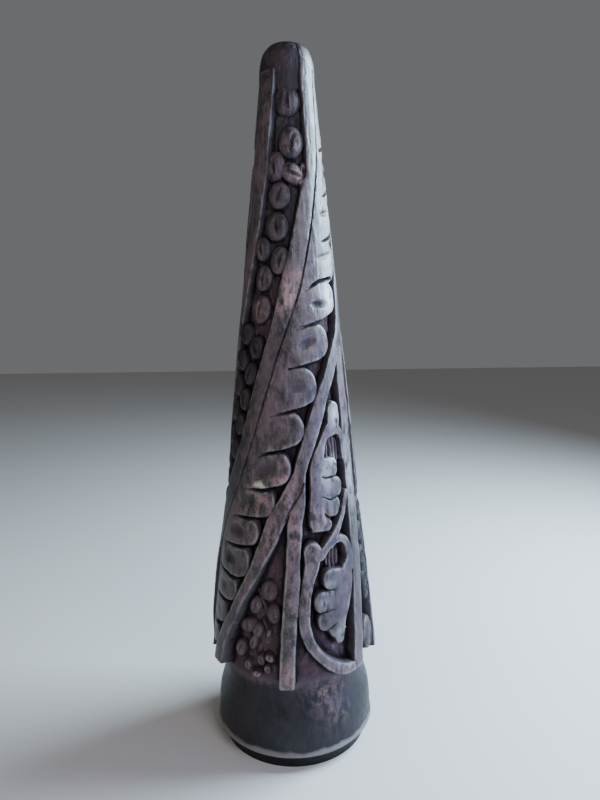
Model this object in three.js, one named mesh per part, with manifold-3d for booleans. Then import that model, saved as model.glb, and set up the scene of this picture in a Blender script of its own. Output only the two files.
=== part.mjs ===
// A stylised tree carved from one block of dark wood: a slim cone of openwork tracery on a turned foot.
// Millimetres, +Z up. The foot rests on z = 0, and the front faces -Y.
// Places on the cone are given as an angle round the trunk, in degrees to the right of the front,
// and a height above the table. The pattern is carved twice, on the front and on the back.
import * as THREE from "three";
import { mergeVertices } from "three/addons/utils/BufferGeometryUtils.js";
import Module from "manifold-3d";

const wasm = await Module();
wasm.setup();

// Driving dimensions
const treeHeight = 450; // table to crown
const skirtHeight = 60; // where the carved layer starts
const crownHeight = 428; // where the crown starts to round over
const skirtRadius = 56.9; // over the carving, at the skirt
const crownRadius = 17.5; // over the carving, at the crown
const capRadius = 7; // the nearly flat top
const skirtCut = 8; // how deep the ground lies under the carving at the skirt
const crownCut = 3.7; // the same at the crown
const rootDepth = 2.5; // how far each strand and leaf is sunk into the ground
const wallDraft = 0.7; // how much wider a strand or leaf is at its root, on each side
const frontFlare = 2; // how far the front's two left-hand strands stand out near the skirt
const flareHeight = 150; // they start to do so below this
const flareRise = 40; // how far down it takes them to do so
const skirtWidth = 2 * skirtRadius - 0.20; // the square that flared strands are kept within
const roundFacets = 30; // sides of the turned foot and crown
const groundFacets = 18; // sides of the ground between the strands
const backTurn = 180; // the pattern's second turn round the tree

// The turned foot, as radius and height from the table up to the neck: an undercut, a rim and a dome
const footProfile = [
  [49, 0],
  [50.2, 7.5],
  [53.6, 10.5],
  [53.1, 20],
  [51.2, 32],
  [48.2, 42],
  [47.6, 50],
];

const degrees = THREE.MathUtils.degToRad;
const mix = THREE.MathUtils.lerp;
const share = (z) => (z - skirtHeight) / (crownHeight - skirtHeight);

// Radius over the carving: a straight cone, then a crown that rounds over like a superellipse.
function outerRadius(z) {
  const roundness = 2.6;
  const rise = THREE.MathUtils.clamp((z - crownHeight) / (treeHeight - crownHeight), 0, 1);
  const cone = mix(skirtRadius, crownRadius, share(Math.min(z, crownHeight)));
  return mix(capRadius, cone, (1 - rise ** roundness) ** (1 / roundness));
}

// Radius of the ground between the strands.
function groundRadius(z) {
  return outerRadius(z) - mix(skirtCut, crownCut, Math.min(share(z), 1));
}

// Degrees round the tree that a length in millimetres takes up at height z.
const asAngle = (length, z) => THREE.MathUtils.radToDeg(length / outerRadius(Math.min(z, crownHeight)));

function placeOnTree(angle, z, radius) {
  const a = degrees(angle);
  return new THREE.Vector3(radius * Math.sin(a), -radius * Math.cos(a), z);
}

// Moves every vertex of a geometry to where the function puts it.
function reshape(geometry, place) {
  const spots = geometry.getAttribute("position");
  for (let i = 0; i < spots.count; i++) {
    const spot = place(spots.getX(i), spots.getY(i), spots.getZ(i));
    spots.setXYZ(i, spot.x, spot.y, spot.z);
  }
  return geometry;
}

// A closed mesh as a solid that can be joined and cut.
function asSolid(geometry) {
  const bare = geometry.clone();
  bare.deleteAttribute("normal");
  bare.deleteAttribute("uv");
  const merged = mergeVertices(bare, 1e-4);
  return new wasm.Manifold(
    new wasm.Mesh({
      numProp: 3,
      vertProperties: merged.attributes.position.array,
      triVerts: new Uint32Array(merged.index.array),
    }),
  );
}

function asGeometry(solid) {
  const mesh = solid.getMesh();
  return new THREE.BufferGeometry()
    .setAttribute("position", new THREE.BufferAttribute(mesh.vertProperties, 3))
    .setIndex(new THREE.BufferAttribute(mesh.triVerts, 1));
}

// A surface of revolution about Z from radius and height pairs, bottom first.
function turned(profile, facets = roundFacets) {
  const points = profile.map(([radius, z]) => new THREE.Vector2(radius, z));
  return asSolid(new THREE.LatheGeometry(points, facets).rotateX(Math.PI / 2));
}

// Height of a piece's surface: its root under the ground, or its face under the outer surface.
function levelRadius(z, isFace, drop) {
  return isFace ? outerRadius(z) - drop : groundRadius(z) - rootDepth;
}

// The face of a strand that stands out further near the skirt.
function flaredRadius(angle, z, drop, flare) {
  const amount = flare * THREE.MathUtils.smoothstep(flareHeight - z, 0, flareRise);
  const across = Math.max(Math.abs(Math.sin(degrees(angle))), Math.abs(Math.cos(degrees(angle))));
  return Math.min(outerRadius(z) - drop + amount, skirtWidth / 2 / across);
}

// A flat-faced strand of the tracery. Its route lists angle, height and width from the top down,
// joined by a smooth curve.
function strand(route, steps, drop = 0, flare = 0) {
  const curve = new THREE.CatmullRomCurve3(route.map((knot) => new THREE.Vector3(...knot)));
  const box = new THREE.BoxGeometry(1, 1, 1, 1, steps, 1);
  return asSolid(
    reshape(box, (across, along, level) => {
      const t = 0.5 - along;
      const spot = curve.getPoint(t);
      const way = curve.getTangent(t).negate();
      const radius = outerRadius(Math.min(spot.y, crownHeight));
      const side = new THREE.Vector2(way.y, -degrees(way.x) * radius).normalize();
      const width = spot.z + (level < 0 ? 2 * wallDraft : 0);
      const z = spot.y + side.y * across * width;
      const angle = spot.x + asAngle(side.x * across * width, spot.y);
      const isFlared = flare > 0 && level > 0;
      const face = isFlared ? flaredRadius(angle, z, drop, flare) : levelRadius(z, level > 0, drop);
      return placeOnTree(angle, z, face);
    }),
  );
}

// Angle of a route at a height, for what hangs on it.
function angleOn(route, z) {
  const reached = route.findIndex(([, height]) => height <= z);
  const next = reached < 0 ? route.length - 1 : Math.max(1, reached);
  const [a, b] = [route[next - 1], route[next]];
  return mix(a[0], b[0], (z - a[1]) / (b[1] - a[1]));
}

// A leaf on one side of a strand, with a row of rounded lobes, each hollowed in the middle.
// Tips list the lobes' ends from the top down, as angle, height, half the lobe's height and its lean.
function lobedLeaf(rib, tips, { side = 1, drop = 0.8, hollow = 1.8 } = {}) {
  const lobe = [
    [1, 0.2],
    [0.6, 1],
    [-0.6, 1],
  ]; // height within a lobe and reach, from the cut above it down to its lower shoulder
  const rows = tips.flatMap((tip) => lobe.map(([up, reach]) => [...tip, up, reach]));
  rows.push([...tips.at(-1), -1, lobe[0][1]]);
  const steps = rows.length - 1;
  const box = new THREE.BoxGeometry(1, 1, 1, 2, steps, 1);
  return asSolid(
    reshape(box, (x, y, level) => {
      const [tipAngle, tipHeight, halfHeight, lean, up, reach] = rows[Math.round((0.5 - y) * steps)];
      const column = Math.round(1 + 2 * side * x);
      const grow = level < 0 ? wallDraft : 0;
      const z = tipHeight + up * (halfHeight + (reach > 0.5 ? grow * 0.5 : 0));
      const slope = Math.tan(degrees(lean));
      const length = Math.abs(degrees(tipAngle - angleOn(rib, z)) * outerRadius(z));
      const ribHeight = z - length * slope;
      const ribAngle = angleOn(rib, ribHeight);
      const edge = mix(ribAngle, tipAngle, reach) + asAngle(side * grow, z);
      const angle = [ribAngle, mix(ribAngle, edge, 0.6), edge][column];
      const here = ribHeight + Math.abs(degrees(angle - ribAngle)) * outerRadius(z) * slope;
      const sunk = [drop, drop + hollow * (1 - up * up), drop][column];
      return placeOnTree(angle, here, levelRadius(here, level > 0, sunk));
    }),
  );
}

// A berry like a coffee bean: a domed oval with a groove along its middle.
function bean([angle, z], halfWidth, halfHeight, { lean = 0, drop = 0.4 } = {}) {
  const dome = 2.2;
  const groove = 1.6;
  const box = new THREE.BoxGeometry(1, 1, 1, 2, 2, 1);
  const [c, s] = [Math.cos(degrees(lean)), Math.sin(degrees(lean))];
  return asSolid(
    reshape(box, (x, y, level) => {
      const [p, q] = [2 * x, 2 * y];
      const grow = level < 0 ? wallDraft : 0;
      const u = p * Math.sqrt(1 - (q * q) / 2) * (halfWidth + grow);
      const v = q * Math.sqrt(1 - (p * p) / 2) * (halfHeight + grow);
      const sunk = drop + (p === 0 ? groove : 0) + dome * q * q;
      const here = z + u * s + v * c;
      return placeOnTree(angle + asAngle(u * c - v * s, z), here, levelRadius(here, level > 0, sunk));
    }),
  );
}

// The long strands, as angle, height and width from the top down
const broadStrand = [
  [44, 449, 9],
  [50, 436, 15],
  [55, 420, 17.5],
  [53, 400, 16.3],
  [48, 379, 14.8],
  [37.2, 360, 16],
  [21, 330, 17.5],
  [5.6, 300, 18.4],
  [-11, 270, 16],
  [-25.5, 240, 16.2],
  [-39.5, 210, 17],
  [-55, 180, 18.4],
  [-74.5, 150, 18.4],
  [-83, 120, 19.5],
  [-90, 86, 19.5],
  [-94, 55, 19],
];
const leftStrand = [
  [-45, 449, 10],
  [-44, 436, 11],
  [-43, 420, 11],
  [-44, 400, 11],
  [-46, 380, 11],
  [-50, 360, 11],
  [-62.5, 320, 10.4],
  [-77, 280, 10],
  [-88, 250, 9.4],
  [-93, 222, 9],
  [-97, 200, 8.2],
  [-104, 172, 6],
];
const crossingStrand = [
  [128, 410, 8],
  [113, 375, 8],
  [99, 345, 8],
  [84, 315, 8.2],
  [70, 288, 8.6],
  [52, 264, 8.4],
  [37, 245.5, 8.4],
  [22, 220, 9.2],
  [11, 200, 8.2],
  [6.3, 190, 7.8],
  [-6.6, 170, 10.4],
  [-18.6, 149, 11],
  [-29.4, 128, 8],
  [-41.2, 107.5, 7.4],
  [-53, 86, 8.6],
  [-58.6, 72, 10.4],
  [-60, 56, 10.8],
];
const sideStrand = [
  [84, 306, 5],
  [76, 290, 8],
  [68, 272, 9.6],
  [62.5, 250, 10],
  [62, 222, 11.4],
  [59.3, 180, 11],
  [58.3, 148, 11.2],
  [55.6, 115, 10],
  [51, 80, 9.6],
  [48, 55, 9.2],
];
const bar = [
  [10.5, 190, 2],
  [7.8, 180, 5],
  [2, 160, 9.6],
  [0.2, 140, 9.1],
  [-2, 110, 9.7],
  [-5, 57, 9.9],
];

function longStrands(flare) {
  return [
    strand(broadStrand, 12, 0, flare),
    strand(crossingStrand, 13, 0.25, flare),
    strand(sideStrand, 7, 0.4),
    strand(bar, 4, 0.1),
    strand(leftStrand, 8, 0.35),
  ];
}

// The long feather leaf that hangs on the broad strand. Its lobes' tips stand in a row.
function featherLeaf() {
  const ribOffset = 5; // from the strand's middle to where the leaf starts
  const tipPlaces = [
    [98, 373, 20],
    [86, 348, 20],
    [73.5, 322, 19],
    [61, 297, 17],
    [43, 270.5, 12],
    [25.5, 243.5, 11],
    [10.8, 217.8, 11],
    [-1, 193.5, 7],
    [-14, 172, 3],
    [-27.8, 151.5, 2],
    [-34.6, 131, 1],
    [-45.5, 112, 2],
    [-56, 95, 4],
    [-67, 78.5, 5],
  ]; // angle, height and how steeply the lobe rises
  const pitchAt = (i) => tipPlaces[i][1] - tipPlaces[i + 1][1];
  const tips = tipPlaces.map(([angle, z, lean], i) => {
    const above = pitchAt(Math.max(i - 1, 0));
    const below = pitchAt(Math.min(i, tipPlaces.length - 2));
    return [angle, z + (above - below) / 4, (above + below) / 4, lean];
  });
  const rib = broadStrand.map(([angle, z]) => [angle + asAngle(ribOffset, z), z]);
  return [lobedLeaf(rib, tips)];
}

// The leaf in the upper loop of the right-hand field, with its rounded head.
function upperLoop() {
  const stem = [
    [43.8, 231, 7.4],
    [43.6, 219, 10],
    [33, 211.5, 5.6],
    [25, 202, 7],
    [20.4, 187, 8.4],
  ];
  const hook = [
    [43, 216, 6],
    [50, 210.5, 5.2],
    [54.5, 198, 4.6],
  ];
  const rib = [
    [16.5, 208],
    [15, 190],
    [16.2, 170],
    [14.6, 150],
  ];
  const tips = [
    [43.5, 191.5, 6.3, -9],
    [47, 179, 6.2, -9],
    [43, 167, 5.9, -12],
    [30, 157.2, 4.6, -14],
  ];
  return [
    strand(stem, 4, 0.7),
    strand(hook, 2, 0.75),
    lobedLeaf(rib, tips, { hollow: 1.2 }),
  ];
}

// The drop-shaped lower loop, with the curl at its top and the leaf that hangs in it.
function lowerLoop() {
  const twig = [
    [51, 174, 4],
    [46, 163, 4.2],
    [38, 153, 4.6],
    [29, 146, 5.4],
    [20, 139, 6],
  ];
  const loop = [
    [15, 147, 10.4],
    [14.2, 135, 10],
    [11, 124, 8],
    [8, 110, 7.2],
    [7.6, 96, 7.6],
    [10.4, 86, 7.2],
    [18.5, 75, 6.8],
    [29, 66.8, 7],
    [38, 63.5, 6.8],
    [47.5, 63, 6],
  ];
  const curl = [
    [30, 145.5, 4.4],
    [38, 147, 4.6],
    [45, 144, 5.4],
    [48.6, 136, 6.8],
    [47.5, 126, 9],
  ];
  const rib = [
    [49, 135],
    [48, 122],
    [45, 110],
    [41, 98],
    [37, 82],
  ];
  const tips = [
    [21.5, 123, 6.4, 2],
    [14.8, 109.5, 6.8, 2],
    [16.8, 97, 5.8, -2],
    [26, 88, 4.4, -6],
  ];
  return [
    strand(twig, 3, 0.65),
    strand(loop, 8, 0.3),
    strand(curl, 3, 0.7),
    lobedLeaf(rib, tips, { side: -1, hollow: 1.2 }),
  ];
}

// Blossoms with bean-like petals in the lower left field.
function blossoms() {
  const petals = [
    [-20, 115.5, 7, 6.6, 4],
    [-31.3, 105.1, 5.2, 6.2, -16],
    [-15.4, 101.2, 5.6, 6.4, 8],
    [-42.8, 75.2, 5, 6.4, -28],
    [-31.5, 81.5, 4, 5.4, -18],
    [-18, 73.5, 3.8, 3.4, -20],
  ];
  return petals.map(([angle, z, halfWidth, halfHeight, lean]) =>
    bean([angle, z], halfWidth, halfHeight, { lean, drop: 2.4 }),
  );
}

// Berries in the long left field: the large ones at the top, then a double row down the spiral to one last large one.
function berries() {
  const large = [
    [-1, 412.5, 8.6, 8.6, 4],
    [8.5, 388.5, 7.8, 9.3, -20],
    [10, 370.5, 5.6, 9.2, 66],
    [-22, 375, 6.4, 8.6, 6],
    [-13, 358.3, 7, 7.8, -25],
    [-18, 340, 8.4, 9, 8],
    [-11, 318.7, 5.8, 8.2, -12],
    [-34, 309, 6, 7.2, -8],
    [-37.5, 289.5, 7.2, 8.2, -4],
    [-109.5, 76, 9, 10.6, -12],
  ];
  const fieldMiddle = [
    [-50, 274],
    [-66, 230],
    [-75, 205],
    [-91, 170],
    [-101, 135],
    [-105.5, 98],
  ];
  const rowStart = 270;
  const rowEnd = 90;
  const rowStep = 26;
  const rowSpread = 6; // sideways from the field's middle, in millimetres
  const small = [];
  for (let z = rowStart, i = 0; z > rowEnd; z -= rowStep, i++) {
    const spread = rowSpread * THREE.MathUtils.clamp((z - 100) / 70, 0, 1);
    const side = i % 2 ? 1 : -1;
    small.push([angleOn(fieldMiddle, z) + asAngle(side * spread, z), z, 5.8, 7, side * 18]);
  }
  return [...large, ...small].map(([angle, z, halfWidth, halfHeight, lean]) =>
    bean([angle, z], halfWidth, halfHeight, { lean, drop: 0.9 }),
  );
}

// The foot with its neck, the ground that the strands are raised from, and the smooth crown.
function turnedBody() {
  const overlap = 10;
  const crownStart = 421;
  const crownDrop = 1.1;
  const foot = turned([[0, 0], ...footProfile, [groundRadius(skirtHeight), skirtHeight], [0, skirtHeight]]);
  const ground = turned(
    [
      [0, skirtHeight - overlap],
      [groundRadius(skirtHeight - overlap), skirtHeight - overlap],
      [groundRadius(crownStart + overlap), crownStart + overlap],
      [0, crownStart + overlap],
    ],
    groundFacets,
  );
  const crownCurve = [0.1, 0.5, 0.83].map((rise) => {
    const z = mix(crownStart, treeHeight, rise);
    return [outerRadius(z) - crownDrop * (1 - rise), z];
  });
  const lip = [
    [0, crownStart],
    [groundRadius(crownStart) + 0.4, crownStart],
  ];
  const cap = [
    [capRadius, treeHeight],
    [0, treeHeight],
  ];
  const crown = turned([...lip, ...crownCurve, ...cap], groundFacets);
  return foot.add(ground).add(crown);
}

const leavesAndBerries = [...featherLeaf(), ...upperLoop(), ...lowerLoop(), ...berries()];
const front = [...longStrands(frontFlare), ...leavesAndBerries, ...blossoms()];
const back = [...longStrands(0), ...leavesAndBerries].map((piece) => piece.rotate([0, 0, backTurn]));
const relief = [...front, ...back];
const carving = relief
  .map((piece) => piece.trimByPlane([0, 0, 1], skirtHeight - 1))
  .reduce((joined, piece) => joined.add(piece), turnedBody());

const darkWood = new THREE.MeshStandardMaterial({ color: 0x2b2422, roughness: 0.5, metalness: 0 });
const tree = new THREE.Mesh(asGeometry(carving), darkWood);
tree.name = "carved_tree";

const group = new THREE.Group();
group.add(tree);
export default group;
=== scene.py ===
from math import cos, radians, sin

import bpy
import numpy as np
from mathutils import Matrix, Vector


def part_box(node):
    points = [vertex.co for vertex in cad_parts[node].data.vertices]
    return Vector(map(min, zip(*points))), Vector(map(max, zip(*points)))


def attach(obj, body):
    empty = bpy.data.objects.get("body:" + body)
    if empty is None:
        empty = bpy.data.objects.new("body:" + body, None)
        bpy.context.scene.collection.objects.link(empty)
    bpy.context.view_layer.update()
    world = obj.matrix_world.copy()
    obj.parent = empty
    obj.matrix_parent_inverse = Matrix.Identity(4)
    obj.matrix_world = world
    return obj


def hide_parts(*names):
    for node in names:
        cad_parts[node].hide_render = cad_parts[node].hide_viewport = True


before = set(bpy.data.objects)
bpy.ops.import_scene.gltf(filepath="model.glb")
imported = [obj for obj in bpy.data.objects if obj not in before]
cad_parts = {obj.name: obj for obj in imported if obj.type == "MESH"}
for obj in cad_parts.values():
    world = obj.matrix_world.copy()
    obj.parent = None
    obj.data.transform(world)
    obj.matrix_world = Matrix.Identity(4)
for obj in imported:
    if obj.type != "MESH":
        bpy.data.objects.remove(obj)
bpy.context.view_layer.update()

# A slim tree carved from one block of dark wood, stood on a pale floor.
# Sizes in the dictionaries are millimetres. A place on the cone is an angle round the trunk, in degrees
# to the right of the front, and a height above the floor.

mm = 0.001

camera = {
    "lens": 27,  # on a 36 mm sensor, for a frame of 600 x 800
    "distance": 397.8,  # in front of the trunk's axis
    "height": 282.7,
    "pitch": 7.6,  # looking down
    "yaw": 0.87,  # turned to the right
    "roll": -0.64,
}


def makeCamera():
    pitch, yaw, roll = (radians(camera[key]) for key in ("pitch", "yaw", "roll"))
    ahead = Vector((sin(yaw) * cos(pitch), cos(yaw) * cos(pitch), -sin(pitch)))
    level = Vector((cos(yaw), -sin(yaw), 0))
    upright = level.cross(ahead)
    right = level * cos(roll) + upright * sin(roll)
    up = upright * cos(roll) - level * sin(roll)
    data = bpy.data.cameras.new("camera")
    data.lens = camera["lens"]
    data.sensor_width = 36
    data.clip_start = 0.01
    lens = bpy.data.objects.new("camera", data)
    turn = Matrix((right, up, -ahead)).transposed().to_4x4()
    lens.matrix_world = Matrix.Translation((0, -camera["distance"] * mm, camera["height"] * mm)) @ turn
    bpy.context.collection.objects.link(lens)
    bpy.context.scene.camera = lens


makeCamera()
print("camera set")

blockLow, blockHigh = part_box("carved_tree")
block = {
    "height": (blockHigh[2] - blockLow[2]) / mm,
    "skirt": 60,  # height where the carved layer starts
    "skirtRadius": 56.9,
    "inset": 0.02,  # how far inside the block's sides the carving stays
    "crown": 428,  # height where the crown starts to round over
    "crownRadius": 17.5,
    "capRadius": 7,
    "roundness": 2.6,  # of the crown's superellipse
    "skirtCut": 8.0,  # depth of the ground under the carving
    "crownCut": 3.7,
    "tongueStart": 421,  # the smooth crown reaches down to here
    "tongueDrop": 2.6,  # how far under the outer surface it lies there
    "tongueCurve": 0.6,  # how soon it comes up to that surface
    "lipSlope": 1.3,  # how steeply its lower end falls away
    "gougesStart": 58,  # the gouge marks fade in over this height
    "neckBlend": (56, 64),  # where the foot's neck turns into the ground
    # The turned foot as radius and height: an undercut, a thin rim and a dome, up to the neck
    "foot": [(49.0, 0), (49.0, 3.5), (49.6, 6.6), (51.4, 8.2), (53.3, 9.2), (53.9, 10.4), (53.5, 11.6),
             (52.8, 13), (52.7, 15), (52.8, 20), (52.4, 26.5), (51.5, 33), (49.8, 39), (48.4, 44),
             (47.8, 50), (48.2, 56), (48.9, 60)],
}
grid = {
    "columns": 1024,  # round the trunk, an even number
    "step": 0.42,  # from row to row along the trunk
    "triangles": 190000,  # after thinning
    "middleRadius": 36,  # of the trunk, where the cells of the tool marks are measured
}


def smoothCurve(knots, at):
    # Cubic Hermite curve through (height, value...) rows, its slopes taken from the neighbouring rows.
    knots = np.asarray(knots, float)
    knots = knots[np.argsort(knots[:, 0])]
    x, y = knots[:, 0], knots[:, 1:]
    slope = np.gradient(y, x, axis=0)
    at = np.clip(at, x[0], x[-1])
    k = np.clip(np.searchsorted(x, at) - 1, 0, len(x) - 2)
    span = (x[k + 1] - x[k])[..., None]
    t = ((at - x[k]) / (x[k + 1] - x[k]))[..., None]
    a, b = y[k], y[k + 1]
    bend = slope[k] * span * t * (1 - t) ** 2 - slope[k + 1] * span * t**2 * (1 - t)
    return a + (b - a) * t * t * (3 - 2 * t) + bend


def smoothStep(low, high, value):
    # From 0 at low to 1 at high, as the cubic that is level at both ends.
    t = np.clip((value - low) / (high - low), 0, 1)
    return t * t * (3 - 2 * t)


def share(z):
    # How far up a height lies from the skirt to the crown, 0 to 1 between them.
    return (z - block["skirt"]) / (block["crown"] - block["skirt"])


def coneRadius(z):
    # Straight from the skirt's radius to the crown's, and level above the crown.
    return block["skirtRadius"] + (block["crownRadius"] - block["skirtRadius"]) * np.minimum(share(z), 1)


def outerRadius(z):
    # Straight cone, then a superellipse that closes in to the cap.
    rise = np.clip((z - block["crown"]) / (block["height"] - block["crown"]), 0, 1)
    n = block["roundness"]
    return block["capRadius"] + (coneRadius(z) - block["capRadius"]) * (1 - rise**n) ** (1 / n)


def groundDepth(z):
    # Straight from the skirt's depth to the crown's.
    return block["skirtCut"] + (block["crownCut"] - block["skirtCut"]) * np.clip(share(z), 0, 1)


def rowHeights():
    # Even steps up the trunk, then steps that shrink where the crown rounds over.
    top = block["height"]
    trunk = np.arange(0, top - 4, grid["step"])
    turn = np.linspace(0, np.pi / 2, 14)[1:]
    return np.concatenate([trunk, trunk[-1] + (top - trunk[-1]) * np.sin(turn)])


rowZ = rowHeights()
columnAngle = (np.arange(grid["columns"]) / grid["columns"] - 0.5) * 360
angles, heights = np.meshgrid(columnAngle, rowZ)
outer = outerRadius(heights)
perDegree = np.radians(outerRadius(np.minimum(heights, block["crown"])))  # millimetres in a degree
print(f"grid of {angles.shape[1]} by {angles.shape[0]} points")

dice = np.random.default_rng(11)


def cellNoise(cellWidth, cellHeight, sharp=False):
    # Random values from -1 to 1 on a lattice that closes round the trunk, blended smoothly between its
    # points. The lattice is measured at mid height, so its cells narrow towards the crown as the trunk
    # does. Sharp noise folds the values at 0 into ridges.
    across = max(4, round(2 * np.pi * grid["middleRadius"] / cellWidth))
    upward = int(block["height"] / cellHeight) + 3
    lattice = dice.uniform(-1, 1, (upward, across))
    u = (angles / 360 + 0.5) * across
    v = heights / cellHeight
    i, j = np.floor(u).astype(int), np.floor(v).astype(int)
    s, t = u - i, v - j
    s, t = s * s * (3 - 2 * s), t * t * (3 - 2 * t)
    i, k = i % across, (i + 1) % across
    lowRow = lattice[j, i] * (1 - s) + lattice[j, k] * s
    highRow = lattice[j + 1, i] * (1 - s) + lattice[j + 1, k] * s
    noise = lowRow * (1 - t) + highRow * t
    return 1 - 2 * np.abs(noise) if sharp else noise


toolMarks = {
    # Two layers each: height of the marks, width and height of their cells
    "wobble": ((0.26, 5, 7), (0.16, 1.8, 2.4)),  # how far an outline strays
    "facets": ((0.16, 3.2, 14), (0.08, 1.6, 5)),  # flat knife cuts on the faces, with sharp ridges
    "gouges": ((0.55, 2.6, 6), (0.30, 1.4, 2.6)),  # marks left in the ground, with sharp ridges
}


def layMarks(name, sharp):
    # The sum of a coarse layer, whose ridges may be sharp, and a fine one.
    coarse, fine = toolMarks[name]
    return coarse[0] * cellNoise(*coarse[1:], sharp) + fine[0] * cellNoise(*fine[1:])


wobble, facets, gouges = layMarks("wobble", False), layMarks("facets", True), layMarks("gouges", True)
print("noise laid out")

carving = {
    "wallSlope": 8.0,  # how steeply the sides of strands and leaves fall
    "soft": 0.13,  # how rounded their edges are
    "corner": 1.5,  # radius of a strand's end
    "skirt": 50,  # no piece reaches below this
}

# Painted shade: where the scoops lie, and which pieces are darker than the rest, both from 0 to 1
paint = {"pit": np.zeros(angles.shape), "dark": np.zeros(angles.shape)}

# Every edge below is a distance in millimetres from a piece's outline, negative inside it.


def uncarved():
    # A relief is a depth under the outer surface. It starts deeper than the ground lies.
    return np.full(angles.shape, 90.0)


def patch(angleLow, angleHigh, zLow, zHigh):
    # The part of the grid that a piece can reach.
    columns = slice(*np.searchsorted(columnAngle, (angleLow, angleHigh)))
    rows = slice(*np.searchsorted(rowZ, (zLow, zHigh)))
    return rows, columns


def softRamp(past, slope, soft):
    # Flat before the start and a straight slope past it, rounded where they meet.
    return slope * soft * np.logaddexp(0, past / soft)


def raisePiece(relief, where, edge, drop):
    # The outer surface less the drop, falling away beyond the edge as a soft ramp.
    fall = softRamp(edge + wobble[where], carving["wallSlope"], carving["soft"])
    relief[where] = np.minimum(relief[where], drop - facets[where] + fall)


def crowned(edge, height, reach, power=2):
    # How much lower a rounded face lies at its edge: nothing at the given reach inside, the full height at
    # the edge.
    return height * np.clip(edge / reach + 1, 0, 1) ** power


def groove(depth, width, distance):
    # A parabola across the line: deepest on it and gone at half the width.
    return depth * np.clip(1 - (distance / (width / 2)) ** 2, 0, 1)


def bandEdge(knots, where):
    # Distance from the sides of a band whose middle and width are given at heights.
    z = rowZ[where[0]]
    middle, width = smoothCurve([(row[1], row[0], row[2]) for row in knots], z).T
    lean = np.gradient(middle, z) * perDegree[where[0], 0]
    offset = (angles[where] - middle[:, None]) * perDegree[where] / np.sqrt(1 + lean**2)[:, None]
    return np.abs(offset) - width[:, None] / 2


def endEdge(edge, beyond, corner):
    # Joins a side distance and an end distance into one outline with rounded corners.
    a, b = np.maximum(edge + corner, 0), np.maximum(beyond + corner, 0)
    return np.hypot(a, b) + np.minimum(np.maximum(edge, beyond) + corner, 0) - corner


def lineDistance(points, where):
    # Distance to a polyline of (angle, height) points, and how far along it the nearest point lies, from 0
    # to 1.
    a, z, scale = angles[where], heights[where], perDegree[where]
    points = np.asarray(points, float)
    best = np.full(a.shape, 1e9)
    along = np.zeros(a.shape)
    for k, (p, q) in enumerate(zip(points[:-1], points[1:])):
        dx, dz = (q[0] - p[0]) * scale, q[1] - p[1]
        x, y = (a - p[0]) * scale, z - p[1]
        t = np.clip((x * dx + y * dz) / (dx * dx + dz * dz), 0, 1)
        distance = np.hypot(x - t * dx, y - t * dz)
        closer = distance < best
        best = np.where(closer, distance, best)
        along = np.where(closer, (k + t) / (len(points) - 1), along)
    return best, along


def smoothRoute(knots, pieces=6):
    # A rounded route through (angle, height, width) rows.
    at = np.linspace(0, len(knots) - 1, pieces * (len(knots) - 1) + 1)
    return smoothCurve([(k, *row) for k, row in enumerate(knots)], at)


def around(points, margin):
    # The patch round some (angle, height) points.
    points = np.asarray(points, float)
    reach = margin / np.radians(outerRadius(np.minimum(points[:, 1], block["crown"])).min())
    return patch(points[:, 0].min() - reach, points[:, 0].max() + reach,
                 points[:, 1].min() - margin, points[:, 1].max() + margin)


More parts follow.
